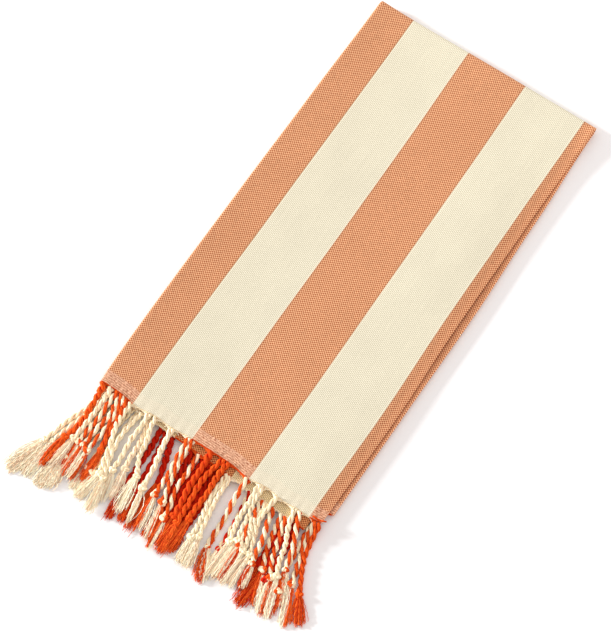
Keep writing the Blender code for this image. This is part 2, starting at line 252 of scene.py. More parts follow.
# Threads and yarns at the hem.
THIN_YARN = 0.5 * MM  # the most that counts as a thread
HEADING_YARN = 0.42 * MM
HEADING_STEP = 0.82 * MM
HEADING_REACH = 10 * MM  # how far from its cord a heading thread may leave the hem
HEADING_POINTS = 14
GATHERED = (6, 10)  # points of a cord's route where heading threads enter it and end
HEM_YARN = 0.55 * MM
HEM_STEP = 1.1 * MM
HEM_TWIST = 5.5 * MM
LOOSE_ENDS = 16  # along one hem of one half
LOOSE_RADIUS = 0.27 * MM
LOOSE_REACH = ((-3.0, -3.6, 0.2), (3.0, -1.0, 1.0))  # least and most x, y and z, in mm
LOOSE_CURL = (0.9, 0.7, 0.2)  # most x, y and z, in mm
TAIL_START = (102.5 * MM, -214.6 * MM, 8.2 * MM)  # the loose twist at the free corner
TAIL_END = (114.2 * MM, -212.4 * MM, 7.0 * MM)
TAIL_RADIUS = 0.85 * MM


def smooth_step(value, low, high):
    """0 below low, 1 above high, smooth between."""
    share = np.clip((value - low) / (high - low), 0, 1)
    return share * share * (3 - 2 * share)


def quadratic(share, first, middle, last):
    """A smooth run through three values, at shares 0, 0.5 and 1."""
    start = first * (1 - share) * (1 - 2 * share)
    end = last * share * (2 * share - 1)
    return start + middle * 4 * share * (1 - share) + end


def softened(values, width):
    """The values with their corners rounded by a running average."""
    kernel = np.ones(width) / width
    padded = np.pad(values, (width // 2, width - 1 - width // 2), mode="edge")
    return np.convolve(padded, kernel, mode="valid")


# -------------------------------------------------------------------------------------- the folds


def layer_spacing(from_fold):
    """Distance between the two layers of a pack: wider at the fold, closer at the open side."""
    pressed = smooth_step(from_fold, PRESSED_FROM, FOLDED_WIDTH)
    closer = (LAYER_SPACING - PRESSED_SPACING) * pressed
    return LAYER_SPACING - closer + (FOLD_SPACING - LAYER_SPACING) * np.exp(-from_fold / PUFF_FADE)


def fold_lengthwise(across):
    """(distance from the left edge, depth below the outer face) of points of the flat cloth."""
    radius = FOLD_SPACING / 2
    quarter = pi * radius / 2
    turned = np.abs(across) < quarter
    angle = np.clip(across / radius, -pi / 2, pi / 2)
    straight = radius + np.abs(across) - quarter
    reach = np.where(turned, radius * (1 - np.cos(angle)), straight)
    inner = np.where(across > 0, layer_spacing(np.maximum(reach - radius, 0)), 0)
    return reach, CAD_THICKNESS / 2 + np.where(turned, radius * (1 + np.sin(angle)), inner)


def total_height(reach, y):
    """Height of all four layers, with the puff at either fold and the soft swellings."""
    lengthwise = FOLD_PUFF * np.exp(-reach / PUFF_FADE)
    crosswise = FOLD_PUFF * np.exp(-np.maximum(TURN_Y - y, 0) / PUFF_FADE)
    waves = np.sin(2 * pi * reach / SWELL_ACROSS) * np.sin(2 * pi * y / SWELL_ALONG)
    pressed = smooth_step(reach, PRESSED_FROM, FOLDED_WIDTH)
    lower = 3 * (LAYER_SPACING - PRESSED_SPACING) * pressed
    return PACK_HEIGHT + lengthwise + crosswise + SWELL * (1 + waves) - lower


def hem_y(upper, across, reach):
    """Where a column of the cloth ends."""
    x = LEFT_EDGE + reach
    sags = sum(depth * np.exp(-(((x - centre) / SAG_WIDTH) ** 2)) for centre, depth in HEM_SAGS)
    outer = UPPER_HEM - sags
    inner = UPPER_INNER_HEM + UPPER_INNER_SKEW * reach / INNER_WIDTH
    turned = np.clip(across / FOLD_SPACING + 0.5, 0, 1)
    lower = LOWER_HEM + LOWER_HEM_WAVE * np.sin(2 * pi * reach / LOWER_WAVE_LENGTH)
    return np.where(upper, outer + (inner - outer) * turned, lower)


def drift(table, share, reach):
    """How far points of a pack are moved sideways."""
    rows = np.array(table)[:, 1:]
    place = share * (len(rows) - 1)
    row = np.minimum(place.astype(int), len(rows) - 2)
    blend = (1 - np.cos(pi * (place - row))) / 2
    before = quadratic(reach / FOLDED_WIDTH, *np.moveaxis(rows[row], -1, 0))
    after = quadratic(reach / FOLDED_WIDTH, *np.moveaxis(rows[row + 1], -1, 0))
    return before + (after - before) * blend


def folded(across, along, beyond=0.0):
    """Places in space of points of the cloth's middle surface, as an array of rows x, y, z.

    across is measured from the lengthwise fold. along runs from -2 at the lower hem through 0 at
    the crosswise fold to 2 at the upper hem, and the half turn takes -1 to 1. beyond is past the
    hem.
    """
    values = [np.asarray(value, float) for value in (across, along, beyond)]
    across, along, beyond = np.broadcast_arrays(*values)
    reach, depth = fold_lengthwise(across)
    outer = across < 0
    upper = along > 0
    turning = np.abs(along) < 1
    share = np.maximum(np.abs(along) - 1, 0)
    end = hem_y(upper, across, reach)
    y = TURN_Y + share * (end - TURN_Y)
    height = total_height(reach, np.minimum(y, TURN_Y))
    tuck = CORNER_TUCK * np.exp(-(y - end) / TUCK_FADE) * np.exp(-reach / TUCK_FADE)
    moved = np.where(upper, drift(UPPER_DRIFT, share, reach), drift(LOWER_DRIFT, share, reach))
    x = LEFT_EDGE + reach + moved + np.where(upper & (share > 0), tuck, 0)
    angle = pi / 2 * np.clip(along, -1, 1)
    radius = height / 2 - depth
    y = np.where(turning, TURN_Y + radius * np.cos(angle), y - beyond)
    lip = smooth_step(reach, LIP_FROM, FOLDED_WIDTH) * outer * smooth_step(share, 0, LIP_BEGINS)
    ripple = PUCKER * np.sin(2 * pi * across / PUCKER_LENGTH + 2 * np.sin(across / PUCKER_UNEVEN))
    ripple = ripple * np.exp(-(y - end) / PUCKER_FADE) * outer
    flat_upper = height - depth + UPPER_LIP * lip + ripple
    flat_lower = depth + LOWER_LIP * lip
    turned = height / 2 + radius * np.sin(angle)
    z = np.where(turning, turned, np.where(upper, flat_upper, flat_lower))
    return np.stack([x, y, z], axis=-1)


def side_of(half):
    """The sign of places across the flat cloth on this half, and the half's width."""
    if half == "outer":
        return -1, FOLDED_WIDTH - CAD_THICKNESS
    return 1, INNER_WIDTH


def across_at(half, x, along):
    """The place across the flat cloth whose folded point lies at x at the hem."""
    sign, _ = side_of(half)
    across = sign * (x - LEFT_EDGE)
    for _ in range(ACROSS_PASSES):
        across += sign * (x - folded(across, along)[0])
    return across


# ---------------------------------------------------------------------------------------- meshes


def add_piece(name, look, node, vertices, faces, corner_values, smooth=True):
    """A mesh piece from arrays, with one vector attribute for each corner of its faces."""
    mesh = bpy.data.meshes.new(name)
    sides = faces.shape[1]
    mesh.vertices.add(len(vertices))
    mesh.vertices.foreach_set("co", vertices.astype(np.float32).ravel())
    mesh.loops.add(faces.size)
    mesh.loops.foreach_set("vertex_index", faces.astype(np.int32).ravel())
    mesh.polygons.add(len(faces))
    mesh.polygons.foreach_set("loop_start", np.arange(0, faces.size, sides, dtype=np.int32))
    mesh.polygons.foreach_set("loop_total", np.full(len(faces), sides, dtype=np.int32))
    for label, values in corner_values.items():
        attribute = mesh.attributes.new(label, "FLOAT_VECTOR", "CORNER")
        attribute.data.foreach_set("vector", values.astype(np.float32).ravel())
    mesh.update(calc_edges=True)
    mesh.validate()
    if smooth:
        mesh.shade_smooth()
    else:
        mesh.shade_flat()
    mesh.materials.append(look)
    piece = bpy.data.objects.new(name, mesh)
    bpy.context.scene.collection.objects.link(piece)
    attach(piece, "root")
    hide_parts(node)
    return piece


def sheet_steps():
    """Where the sheet's columns lie across the flat cloth, and its rows along it."""
    quarter = pi * FOLD_SPACING / 4
    outer = np.linspace(-(FOLDED_WIDTH - CAD_THICKNESS), -quarter, ACROSS_STEPS)
    fold = np.linspace(-quarter, quarter, FOLD_STEPS)
    inner = np.linspace(quarter, INNER_WIDTH, ACROSS_STEPS)
    leg = 2 - (1 - np.linspace(0, 1, ALONG_STEPS)[1:]) ** HEM_CROWDING
    columns = np.concatenate([outer[:-1], fold, inner[1:]])
    rows = np.concatenate([-leg[::-1], np.linspace(-1, 1, TURN_STEPS), leg])
    return columns, rows


def flat_places(across, along, points):
    """Rows of: place across the flat cloth, distance from the hem, distance past the far fold."""
    hems = folded(across, np.where(along > 0, 2.0, -2.0))
    from_hem = np.abs(points[..., 1] - hems[..., 1])
    half_turn = pi / 4 * PACK_HEIGHT
    straight = np.maximum(TURN_Y - points[..., 1], 0) + half_turn
    down = np.where(np.abs(along) < 1, half_turn * along, np.sign(along) * straight)
    return np.stack([across, from_hem, down], axis=-1).reshape(-1, 3)


def cloth_piece(look):
    """The whole cloth on its folds, with a thickness."""
    columns, rows = sheet_steps()
    across, along = np.meshgrid(columns, rows, indexing="ij")
    points = folded(across, along)
    count = len(rows)
    i, j = np.meshgrid(np.arange(len(columns) - 1), np.arange(count - 1), indexing="ij")
    corner = (i * count + j).ravel()
    faces = np.stack([corner, corner + count, corner + count + 1, corner + 1], axis=1)
    values = flat_places(across, along, points)[faces.ravel()]
    vertices = points.reshape(-1, 3)
    piece = add_piece(
        "cloth_sheet", look, "towel_cloth", vertices, faces, {"flat": values}
    )
    thick = piece.modifiers.new("thickness", "SOLIDIFY")
    thick.thickness = CLOTH_THICKNESS
    thick.offset = 0
    thick.use_even_offset = True
    return piece


def directions(paths, away=UP):
    """Unit vectors at each point of the paths: to the side, and up or away."""
    run = np.gradient(paths, axis=-2)
    run /= np.linalg.norm(run, axis=-1, keepdims=True)
    side = np.cross(run, away)
    side /= np.linalg.norm(side, axis=-1, keepdims=True) + TINY
    return side, np.cross(side, run)


def lengths_along(paths):
    """How far each point lies from the first one, along its path."""
    steps = np.linalg.norm(np.diff(paths, axis=-2), axis=-1)
    return np.concatenate([np.zeros_like(steps[..., :1]), np.cumsum(steps, axis=-1)], axis=-1)


class Tubes:
    """Gathers many tubes into the arrays of one mesh."""

    def __init__(self):
        self.vertices = []
        self.faces = []
        self.yarn = []  # at each corner: place around the tube, place along it in mm, random seed
        self.tint = []  # at each corner: share of orange, 1 for thick yarn, depth of shade
        self.count = 0

    def add(self, paths, radii, tints, sides, centres=None, shades=0.0, rolls=0.0):
        """paths is tubes x points x 3; radii, tints and shades broadcast to tubes x points.

        The quarter of each ring points up, or away from centres, whose side of the tube is shaded.
        """
        paths = np.asarray(paths, float)
        tubes, points = paths.shape[:2]
        radii = np.broadcast_to(radii, (tubes, points))
        tints = np.broadcast_to(tints, (tubes, points))
        shades = np.broadcast_to(shades, (tubes, points))
        rolls = np.broadcast_to(rolls, (tubes,))
        side, up = directions(paths, UP if centres is None else paths - centres)
        angle = (2 * pi * np.arange(sides) / sides + rolls[:, None])[:, None, :, None]
        ring = side[:, :, None] * np.cos(angle) + up[:, :, None] * np.sin(angle)
        spots = paths[:, :, None] + ring * radii[:, :, None, None]
        steps = (np.arange(tubes), np.arange(points - 1), np.arange(sides))
        t, p, s = np.meshgrid(*steps, indexing="ij")
        here = self.count + (t * points + p) * sides
        after = (s + 1) % sides
        faces = np.stack([here + s, here + after, here + sides + after, here + sides + s], axis=-1)
        around = np.stack([s, s + 1, s + 1, s], axis=-1) / sides
        row = np.stack([p, p, p + 1, p + 1], axis=-1)
        tube = np.broadcast_to(t[..., None], row.shape)
        seed = RNG.random(tubes)[tube]
        along = lengths_along(paths)[tube, row] / MM
        tint = tints[tube, row]
        thick = np.full(tint.shape, 1.0 if radii.max() > THIN_YARN else 0.0)
        shade = shades[tube, row]
        # painted shade on the side of each ply that faces its cord's middle, a little more on
        # orange
        if centres is not None:
            shade = shade + np.maximum(0.25 * tint - 1.5 * np.sin(2 * pi * around), 0)
        self.vertices.append(spots.reshape(-1, 3))
        self.faces.append(faces.reshape(-1, 4))
        self.yarn.append(np.stack([around, along, seed], axis=-1).reshape(-1, 3))
        self.tint.append(np.stack([tint, thick, np.clip(shade, 0, 1)], axis=-1).reshape(-1, 3))
        self.count += tubes * points * sides

    def piece(self, name, look, node, smooth=True):
        """All tubes so far, as one piece."""
        vertices = np.concatenate(self.vertices)
        faces = np.concatenate(self.faces)
        corners = {"yarn": np.concatenate(self.yarn), "tint": np.concatenate(self.tint)}
        return add_piece(name, look, node, vertices, faces, corners, smooth)


# ----------------------------------------------------------------------------------- the fringes


def ply_tint(letter):
    """Share of orange in a ply."""
    return {"O": 1.0, "D": 1.0, "R": 1.0, "C": 0.0, "P": 0.08}[letter]


def ply_shade(letter):
    """Depth of a ply's painted shade, of 1: deep orange (D) and red (R) plies lie in shade."""
    return {"R": 0.95, "D": 0.45}.get(letter, 0.0)


def cord_route(root, level, crosses_hem, halfway, knot):
    """Points from the hem to the knot: over the inner hem if need be, then down to the level."""
    share = np.linspace(0, 1, CORD_POINTS)
    if crosses_hem:
        inner = folded(across_at("inner", root[0], 2), 2)
        over = inner[2] + CLOTH_THICKNESS / 2 + CORD_RADIUS
        z = np.interp(share, OVER_HEM_SHARES, (root[2], over, over, level, level))
    else:
        z = np.interp(share, FREE_SHARES, (root[2], level, level))
    sway = RNG.uniform(0.3, 1.0) * SWAY
    swings = RNG.uniform(0.7, 1.5)
    start = RNG.uniform(0, 6)
    x = quadratic(share, root[0], halfway, knot[0])
    x = x + sway * np.sin(pi * share) * np.sin(2 * pi * share * swings + start)
    y = root[1] + (knot[1] - root[1]) * share
    return np.stack([x, y, softened(z, LEVEL_ROUNDING)], axis=1)


def add_plies(tubes, strands, route, plies):
    """Two plies twisted round each other along the route, with thin threads on them."""
    side, up = directions(route)
    length = lengths_along(route)
    fullness = FULLNESS.get(plies, 1.0)
    pitch = TWIST * RNG.uniform(0.86, 1.16)
    phase = RNG.uniform(0, 2 * pi)
    uneven = RNG.uniform(0.2, 0.8) * np.sin(length / (9 * MM) + RNG.uniform(0, 6))
    thickness = RNG.uniform(0.9, 1.1) * fullness
    spread = PLY_OFFSET * fullness * (1 + ROOT_OPENING * np.exp(-length / ROOT_FADE))
    spread = spread * RNG.uniform(0.92, 1.08) * (1 + 0.15 * np.sin(length / (5 * MM) + phase))
    for number, letter in enumerate(plies):
        tint = ply_tint(letter)
        shade = ply_shade(letter)
        turn = phase + pi * number + 2 * pi * length / pitch + uneven
        offset = side * np.cos(turn)[:, None] + up * (FLATNESS * np.sin(turn))[:, None]
        path = route + offset * spread[:, None]
        lumps = 0.05 * np.sin(length / (2.3 * MM) + 3 * number)
        radius = PLY_RADIUS * (0.96 + 0.09 * np.sin(turn) + lumps) * thickness
        path[:, 2] = np.maximum(path[:, 2], radius)
        tubes.add(path[None], radius[None], tint, 10, centres=route[None], shades=shade)
        add_strands(strands, path[::2], radius[::2], tint, shade)


def add_strands(tubes, path, radius, tint, shade):
    """Thin threads that lie on a ply, some of them a little loose."""
    side, up = directions(path)
    length = lengths_along(path)
    start, wander, loose = RNG.uniform(0, 2 * pi, (3, STRANDS, 1))
    turn = start + 2 * pi * length / STRAND_TWIST + 0.7 * np.sin(length / (4 * MM) + wander)
    slack = RNG.uniform(0, STRAND_SLACK, (STRANDS, 1))
    slack = slack * np.maximum(np.sin(length / (6 * MM) + loose) - 0.7, 0)
    lift = (radius * STRAND_DEPTH + slack)[..., None]
    paths = path + (side * np.cos(turn)[..., None] + up * np.sin(turn)[..., None]) * lift
    paths[..., 2] = np.maximum(paths[..., 2], STRAND_RADIUS)
    # painted shade: the ply's own, and more at random per thread for the dark lines between them
    shades = shade + RNG.uniform(0, 0.45, (STRANDS, 1))
    rolls = RNG.uniform(0, 2 * pi, STRANDS)
    tubes.add(paths, STRAND_RADIUS, tint, 3, shades=shades, rolls=rolls)


def flat_heading(vector):
    """Level unit vectors along the vector and to its left."""
    ahead = np.array([vector[0], vector[1], 0])
    ahead = ahead / np.linalg.norm(ahead)
    return ahead, np.array([-ahead[1], ahead[0], 0])


def add_knot(tubes, centre, heading, plies, size):
    """An overhand knot pulled tight."""
    t = np.linspace(0, 2 * pi, 45)
    first = np.sin(t) + 2 * np.sin(2 * t)
    second = np.cos(t) - 2 * np.cos(2 * t)
    turn = RNG.uniform(0, 2 * pi)
    size *= RNG.uniform(0.92, 1.1) * MM
    x = first * cos(turn) - second * sin(turn)
    y = first * sin(turn) + second * cos(turn)
    z = -np.sin(3 * t)
    ahead, side = flat_heading(heading)
    across, along, upwards = (share * size for share in KNOT_SHAPE)
    path = centre + side * (x * across)[:, None] + ahead * (y * along)[:, None]
    path[:, 2] += z * upwards
    tint = np.where(np.sin(2 * t + turn) > 0, ply_tint(plies[0]), ply_tint(plies[1]))
    # the painted shade of shaded plies carries into the knot
    shade = max(ply_shade(letter) for letter in plies)
    radius = KNOT_YARN * size
    path[:, 2] = np.maximum(path[:, 2], radius)
    tubes.add(path[None], radius, tint[None], 9, centres=centre, shades=shade)


def tassel_paths(knot, tip, width, count):
    """(place of each thread in the fan, paths of the threads) of a tassel."""
    share = np.linspace(0, 1, TASSEL_POINTS)
    ahead, side = flat_heading(tip - knot)
    reach = np.hypot(tip[0] - knot[0], tip[1] - knot[1])
    fan = np.sort(np.clip(RNG.normal(0, FAN, count), -FAN_LIMIT, FAN_LIMIT))
    start_side = fan * BUNDLE_WIDTH
    start_up = RNG.uniform(-1, 1, count) * BUNDLE_HEIGHT * np.sqrt(1.25 - fan**2)
    end_side = (fan + RNG.normal(0, 0.12, count)) * width / 2
    end_up = RNG.uniform(-0.8, 1.0, count) * MM
    stray = RNG.random(count) < STRAY_THREADS
    end_side += stray * RNG.normal(0, STRAY_REACH, count)
    long = 1 + RNG.normal(0, 0.06, count) - 0.06 * fan**2
    bend = RNG.normal(0, THREAD_BEND, count) * (1 + 2 * stray)
    crimp = RNG.uniform(0.12, 0.36, count) * MM * (WIDE_CRIMP if width > WIDE_TASSEL else 1.0)
    crimp_length = RNG.uniform(4.0, 8.0, count) * MM
    crimp_turn = RNG.uniform(0, 2 * pi, (2, count))
    along = share[None] * (reach * long)[:, None]
    opening = (1 - (1 - share) ** FAN_OPENING)[None]
    wave = 2 * pi * along / crimp_length[:, None]
    sideways = start_side[:, None] * (1 - opening) + end_side[:, None] * opening
    sideways += bend[:, None] * np.sin(pi * share)[None]
    sideways += crimp[:, None] * np.sin(wave + crimp_turn[0][:, None])
    upwards = start_up[:, None] * (1 - opening) + end_up[:, None] * opening
    upwards += crimp[:, None] * np.cos(wave + crimp_turn[1][:, None])
    paths = knot + ahead * along[..., None] + side * sideways[..., None]
    middle = knot[2] + (tip[2] - knot[2]) * share[None]
    paths[..., 2] = np.maximum(middle + upwards, 1.2 * THREAD_RADIUS)
    return fan, paths


def add_tassel(tubes, knot, tip, plies, width):
    """Frayed crimped threads that fan out from the knot to the tip, with a few that stray."""
    count = int(LEAST_THREADS + THREADS_PER_WIDTH * width)
    fan, paths = tassel_paths(knot, tip, width, count)
    second = fan + RNG.normal(0, 0.16, count) > 0
    tint = np.where(second, ply_tint(plies[1]), ply_tint(plies[0]))
    taper = 1 - THREAD_TAPER * np.linspace(0, 1, TASSEL_POINTS)
    radii = THREAD_RADIUS * taper[None] * RNG.uniform(0.8, 1.2, count)[:, None]
    # painted shade: threads of shaded plies take some, and a share of threads lie in the shade of
    # others
    darker = 0.4 * np.where(second, ply_shade(plies[1]), ply_shade(plies[0]))
    buried = RNG.random(count) < DARK_THREADS
    shades = np.where(buried, RNG.uniform(0.4, 1.0, count), 0.0) + darker
    rolls = RNG.uniform(0, 2 * pi, count)
    tubes.add(paths, radii, tint[:, None], 3, shades=shades[:, None], rolls=rolls)


def orange_at(across):
    """1 where the stripe at this place across the flat cloth is orange, else 0."""
    return ((across - FIRST_STRIPE) / (2 * STRIPE)) % 1 < 0.5


def add_heading(tubes, half, along, roots, routes, colours):
    """Warp threads that leave the hem and gather into the nearest cord of their half."""
    sign, width = side_of(half)
    spots = sign * np.arange(0.6 * MM, width - 0.3 * MM, HEADING_STEP)
    roots = np.array(roots)
    spots = spots[np.abs(spots[:, None] - roots[None]).min(axis=1) < HEADING_REACH]
    nearest = np.abs(spots[:, None] - roots[None]).argmin(axis=1)
    pull = roots[nearest] - spots
    starts = folded(spots, along, -1.2 * MM)
    edge = folded(spots, along, 0.5 * MM)
    bent = folded(spots + pull * 0.5, along, 1.7 * MM)
    close = folded(spots + pull * 0.88, along, 3.0 * MM)
    jitter = RNG.normal(0, 0.25 * MM, (len(spots), 3))
    into, gone = (np.array([routes[k][point] for k in nearest]) + jitter for point in GATHERED)
    keys = np.stack([starts, edge, bent, close, into, gone], axis=1)
    places = np.arange(keys.shape[1])
    fine = np.linspace(0, places[-1], HEADING_POINTS)
    paths = np.empty((len(spots), HEADING_POINTS, 3))
    for axis in range(3):
        for row in range(len(spots)):
            paths[row, :, axis] = softened(np.interp(fine, places, keys[row, :, axis]), 3)
    paths[..., 2] = np.maximum(paths[..., 2], HEADING_YARN)
    # painted shade, at random per thread, for the dark crevices among them under the hem
    shades = np.clip(RNG.normal(0.35, 0.35, len(spots)), 0, 1)
    cream_cord = np.array([colours[k] == "CC" for k in nearest])
    at_border = orange_at(spots - 4 * MM) != orange_at(spots + 4 * MM)
    tint = np.where(cream_cord & at_border, 0.0, orange_at(spots))
    tubes.add(paths, HEADING_YARN, tint[:, None], 5, shades=shades[:, None])


def add_hem_line(tubes, half, along):
    """Two yarns twined along the hem, each in the colour of the stripe that it runs by."""
    sign, width = side_of(half)
    across = sign * np.arange(1.0 * MM, width - 0.5 * MM, HEM_STEP)
    tint = orange_at(across).astype(float)
    for number in range(2):
        turn = 2 * pi * across / HEM_TWIST + pi * number + 0.8 * np.sin(across / (8 * MM))
        path = folded(across, along, (0.55 + 0.4 * np.sin(turn)) * MM)
        path[:, 2] += (0.1 + 0.4 * np.cos(turn)) * MM
        path[:, 2] = np.maximum(path[:, 2], HEM_YARN)
        # painted shade where each yarn turns under the other
        shade = np.clip(0.5 - 0.5 * np.cos(turn), 0, 1)
        tubes.add(path[None], HEM_YARN, tint[None], 6, shades=shade[None])


def add_loose_ends(tubes, half, along):
    """Short thin ends of thread that stand off the hem here and there."""
    sign, width = side_of(half)
    across = sign * RNG.uniform(4 * MM, width - 4 * MM, LOOSE_ENDS)
    first = folded(across, along, 0.3 * MM)
    reach = RNG.uniform(*LOOSE_REACH, (LOOSE_ENDS, 3)) * MM
    curl = RNG.uniform(-1, 1, (LOOSE_ENDS, 3)) * LOOSE_CURL * MM
    share = np.linspace(0, 1, 8)[None, :, None]
    paths = first[:, None] + reach[:, None] * share + curl[:, None] * np.sin(pi * share)
    paths[..., 2] = np.maximum(paths[..., 2], LOOSE_RADIUS)
    tubes.add(paths, LOOSE_RADIUS, orange_at(across).astype(float)[:, None], 5)


def add_corner_tail(tubes):
    """A loose twist of orange thread that lies along the upper hem at its free corner."""
    share = np.linspace(0, 1, 24)
    start = np.array(TAIL_START)
    path = start + (np.array(TAIL_END) - start) * share[:, None]
    path[:, 1] -= 1.1 * MM * np.sin(pi * share)
    path[:, 2] += 0.5 * MM * np.sin(3 * pi * share)
    radius = TAIL_RADIUS * (1.1 - 0.4 * share**3)
    # with a little painted shade
    tubes.add(path[None], radius[None], 1.0, 8, shades=0.25)


def fringe(name, along, cords, look, node):
    """The cords, threads on them, knots and hem yarns, and tassels at one end, as four pieces."""
    twisted, strands, knots, tassels = Tubes(), Tubes(), Tubes(), Tubes()
    halves = {"outer": ([], [], []), "inner": ([], [], [])}
    for half, level, plies, root_x, halfway, knot_x, knot_y, tip_x, tip_y, width in cords:
        across = across_at(half, root_x * MM, along)
        root = folded(across, along, ROOT_BEYOND)
        height = LEVELS[level] + RNG.uniform(-0.4, 0.5) * MM
        crosses_hem = half == "outer" and along > 0 and root_x * MM < FREE_SIDE
        knot = np.array([knot_x * MM, knot_y * MM, height])
        tip = np.array([tip_x * MM, tip_y * MM, max(height - TIP_DROP, TIP_LEAST)])
        route = cord_route(root, height, crosses_hem, halfway * MM, knot)
        size = SMALL_KNOT if width * MM > WIDE_TASSEL else 1.0
        add_plies(twisted, strands, route, plies)
        add_knot(knots, knot + [0, 0, KNOT_LIFT], tip - knot, plies, size)
        add_tassel(tassels, knot, tip, plies, width * MM)
        for values, value in zip(halves[half], (across, route, plies)):
            values.append(value)
    for half, (roots, routes, colours) in halves.items():
        add_heading(knots, half, along, roots, routes, colours)
        add_hem_line(knots, half, along)
        add_loose_ends(knots, half, along)
    if along > 0:
        add_corner_tail(knots)
    return [
        twisted.piece(name + "_cords", look, node),
        strands.piece(name + "_strands", look, node, smooth=False),
        knots.piece(name + "_knots", look, node),
        tassels.piece(name + "_tassels", look, node, smooth=False),
    ]


# ------------------------------------------------------------------------------------- materials


class Graph:
    """A material's node tree with short calls for the nodes used here."""

    def __init__(self, name):
        self.material = bpy.data.materials.new(name)
        self.material.use_nodes = True
        self.tree = self.material.node_tree
        self.shader = self.tree.nodes["Principled BSDF"]

    def feed(self, socket, value):
        """Links a node's output to the socket, or sets the socket to a fixed value."""
        if isinstance(value, bpy.types.NodeSocket):
            self.tree.links.new(value, socket)
        else:
            socket.default_value = value

    def math(self, operation, *values, clamp=False):
        """The result of one operation on numbers or outputs."""
        node = self.tree.nodes.new("ShaderNodeMath")
        node.operation = operation
        node.use_clamp = clamp
        for socket, value in zip(node.inputs, values):
            self.feed(socket, value)
        return node.outputs[0]

    def add(self, first, second):
        return self.math("ADD", first, second)

    def subtract(self, first, second):
        return self.math("SUBTRACT", first, second)

    def multiply(self, first, second):
        return self.math("MULTIPLY", first, second)

    def divide(self, first, second):
        return self.math("DIVIDE", first, second)

    def ramp(self, value, gain, start, clamp=False):
        """start where the value is 0, and gain more for each 1 of the value."""
        return self.math("MULTIPLY_ADD", value, gain, start, clamp=clamp)

    def step(self, value, low, high):
        """0 below low, 1 above high, smooth between, or the other way round if low is higher."""
        node = self.tree.nodes.new("ShaderNodeMapRange")
        node.interpolation_type = "SMOOTHSTEP"
        for socket, number in zip(node.inputs, (value, low, high)):
            self.feed(socket, number)
        return node.outputs[0]

    def sine(self, value, period):
        """A wave from -1 to 1."""
        return self.math("SINE", self.multiply(value, 2 * pi / period))

    def noise(self, scale, detail=2.0, vector=None):
        node = self.tree.nodes.new("ShaderNodeTexNoise")
        node.inputs["Scale"].default_value = scale
        node.inputs["Detail"].default_value = detail
        if vector is None:
            vector = self.tree.nodes.new("ShaderNodeTexCoord").outputs["Object"]
        self.feed(node.inputs["Vector"], vector)
        return node.outputs["Fac"]

    def attribute(self, name):
        """The three numbers of a mesh attribute."""
        node = self.tree.nodes.new("ShaderNodeAttribute")
        node.attribute_name = name
        split = self.tree.nodes.new("ShaderNodeSeparateXYZ")
        self.tree.links.new(node.outputs["Vector"], split.inputs[0])
        return split.outputs

    def vector(self, first, second):
        node = self.tree.nodes.new("ShaderNodeCombineXYZ")
        self.feed(node.inputs[0], first)
        self.feed(node.inputs[1], second)
        return node.outputs[0]

    def mix(self, share, first, second, blend="MIX"):
        """The first colour, passing by the share to the second one or their blend."""
        node = self.tree.nodes.new("ShaderNodeMix")
        node.data_type = "RGBA"
        node.blend_type = blend
        self.feed(node.inputs["Factor"], share)
        self.feed(node.inputs["A"], first)
        self.feed(node.inputs["B"], second)
        return node.outputs["Result"]

    def scaled(self, colour, amount):
        """The colour times an amount."""
        node = self.tree.nodes.new("ShaderNodeVectorMath")
        node.operation = "SCALE"
        self.feed(node.inputs[0], colour)
        self.feed(node.inputs["Scale"], amount)
        return node.outputs[0]

    def bump(self, height, strength, distance):
        node = self.tree.nodes.new("ShaderNodeBump")
        node.inputs["Strength"].default_value = strength
        node.inputs["Distance"].default_value = distance
        self.feed(node.inputs["Height"], height)
        self.feed(self.shader.inputs["Normal"], node.outputs[0])

    def surface(self, colour, roughness, sheen):
        """Sets the shader, and gives the finished material."""
        self.feed(self.shader.inputs["Base Color"], colour)
        self.shader.inputs["Roughness"].default_value = roughness
        self.shader.inputs["Specular IOR Level"].default_value = 0.15
        self.shader.inputs["Sheen Weight"].default_value = sheen
        self.shader.inputs["Sheen Roughness"].default_value = 0.5
        return self.material


def linear(red, green, blue):
    """A colour given as screen values from 0 to 255, as Blender's linear colour."""

    def one(value):
        share = value / 255
        return share / 12.92 if share <= 0.04045 else ((share + 0.055) / 1.055) ** 2.4

    return (one(red), one(green), one(blue), 1.0)


WARP_ORANGE = linear(152, 66, 26)
WEFT_ORANGE = linear(240, 186, 140)
WARP_CREAM = linear(186, 180, 150)
WEFT_CREAM = linear(243, 235, 214)
HEADER_ORANGE = (linear(156, 88, 58), linear(248, 198, 162))
HEADER_CREAM = (linear(206, 194, 166), linear(240, 229, 206))
HEM_SHADE_TINT = linear(252, 230, 198)  # painted shade: darkens and tints the band of the inner half that shows below the upper hem
YARN_ORANGE = linear(243, 97, 25)
YARN_CREAM = linear(255, 241, 203)
THREAD_ORANGE = linear(248, 112, 40)  # of thin yarn
THREAD_CREAM = linear(254, 245, 218)
DEEP_ORANGE = linear(184, 6, 0)  # in the shade between plies and threads
# the painted shade colour of cream yarn
DEEP_CREAM = linear(214, 140, 76)


def stripes(g, across, warp_up, rib):
    """(1 where a stripe is orange, colour of the woven stripes with their border threads, painted
    paler as a highlight on cream and darker on orange).
    """
    place = g.math("FRACT", g.divide(g.subtract(across, FIRST_STRIPE), 2 * STRIPE))
    orange = g.math("LESS_THAN", place, 0.5)
    orange_cell = g.mix(warp_up, WEFT_ORANGE, WARP_ORANGE)
    cream_cell = g.mix(rib, WEFT_CREAM, WARP_CREAM)
    colour = g.mix(orange, cream_cell, orange_cell)
    from_border = g.multiply(g.math("ABSOLUTE", g.subtract(place, 0.5)), 2 * STRIPE)
    from_border = g.math("MINIMUM", from_border, g.subtract(STRIPE, from_border))
    beside = g.step(from_border, *BORDER_LINE)
    # painted highlight: the cream side of each border is paler, and the orange side is darker
    return orange, g.scaled(colour, g.ramp(beside, g.ramp(orange, -0.24, 0.08), 1.0))


